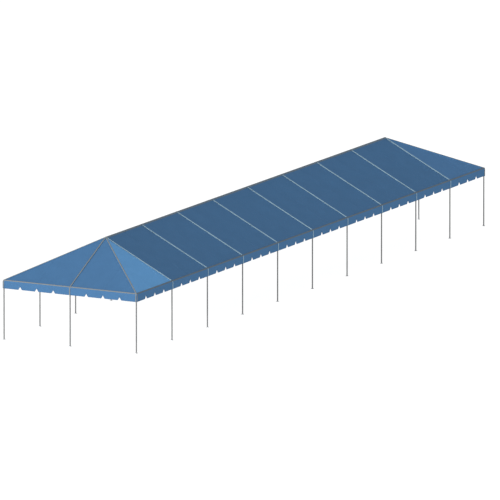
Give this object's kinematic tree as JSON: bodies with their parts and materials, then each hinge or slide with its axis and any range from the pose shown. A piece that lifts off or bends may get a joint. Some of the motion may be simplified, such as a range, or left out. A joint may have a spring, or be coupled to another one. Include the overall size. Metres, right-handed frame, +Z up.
{
  "type": "frame marquee tent with hipped ends",
  "caption": "Long open-sided frame marquee: tube legs, eave rails, rafters and ridge under a hipped vinyl cover with a notched valance.",
  "frame": {"origin": "on the ground, at the centre of the plan under the middle of the ridge", "axes": "+X along the length (the ridge), +Y across the width, +Z up"},
  "size_m": [30.5816, 6.1976, 4.0009],
  "materials": {
    "leg_tube": "mill finish",
    "frame_tube": "mill finish",
    "end_vinyl": "satin coated vinyl",
    "middle_vinyl": "satin coated vinyl"
  },
  "bodies": {
    "root": {"leg_south_0": "leg_tube", "leg_south_1": "leg_tube", "leg_south_2": "leg_tube", "leg_south_3": "leg_tube", "leg_south_4": "leg_tube", "leg_south_5": "leg_tube", "leg_south_6": "leg_tube", "leg_south_7": "leg_tube", "leg_south_8": "leg_tube", "leg_south_9": "leg_tube", "leg_south_10": "leg_tube", "leg_north_0": "leg_tube", "leg_north_1": "leg_tube", "leg_north_2": "leg_tube", "leg_north_3": "leg_tube", "leg_north_4": "leg_tube", "leg_north_5": "leg_tube", "leg_north_6": "leg_tube", "leg_north_7": "leg_tube", "leg_north_8": "leg_tube", "leg_north_9": "leg_tube", "leg_north_10": "leg_tube", "leg_west_middle": "leg_tube", "leg_east_middle": "leg_tube", "south_eave_rail": "frame_tube", "north_eave_rail": "frame_tube", "west_eave_rail": "frame_tube", "east_eave_rail": "frame_tube", "ridge_rail": "frame_tube", "rafter_south_1": "frame_tube", "rafter_south_2": "frame_tube", "rafter_south_3": "frame_tube", "rafter_south_4": "frame_tube", "rafter_south_5": "frame_tube", "rafter_south_6": "frame_tube", "rafter_south_7": "frame_tube", "rafter_south_8": "frame_tube", "rafter_south_9": "frame_tube", "rafter_north_1": "frame_tube", "rafter_north_2": "frame_tube", "rafter_north_3": "frame_tube", "rafter_north_4": "frame_tube", "rafter_north_5": "frame_tube", "rafter_north_6": "frame_tube", "rafter_north_7": "frame_tube", "rafter_north_8": "frame_tube", "rafter_north_9": "frame_tube", "rafter_west_middle": "frame_tube", "rafter_east_middle": "frame_tube", "hip_rafter_southwest": "frame_tube", "hip_rafter_southeast": "frame_tube", "hip_rafter_northeast": "frame_tube", "hip_rafter_northwest": "frame_tube", "cover_west_hip": "end_vinyl", "cover_middle_1": "middle_vinyl", "cover_middle_2": "middle_vinyl", "cover_middle_3": "middle_vinyl", "cover_middle_4": "middle_vinyl", "cover_east_hip": "end_vinyl"}
  },
  "joints": []
}
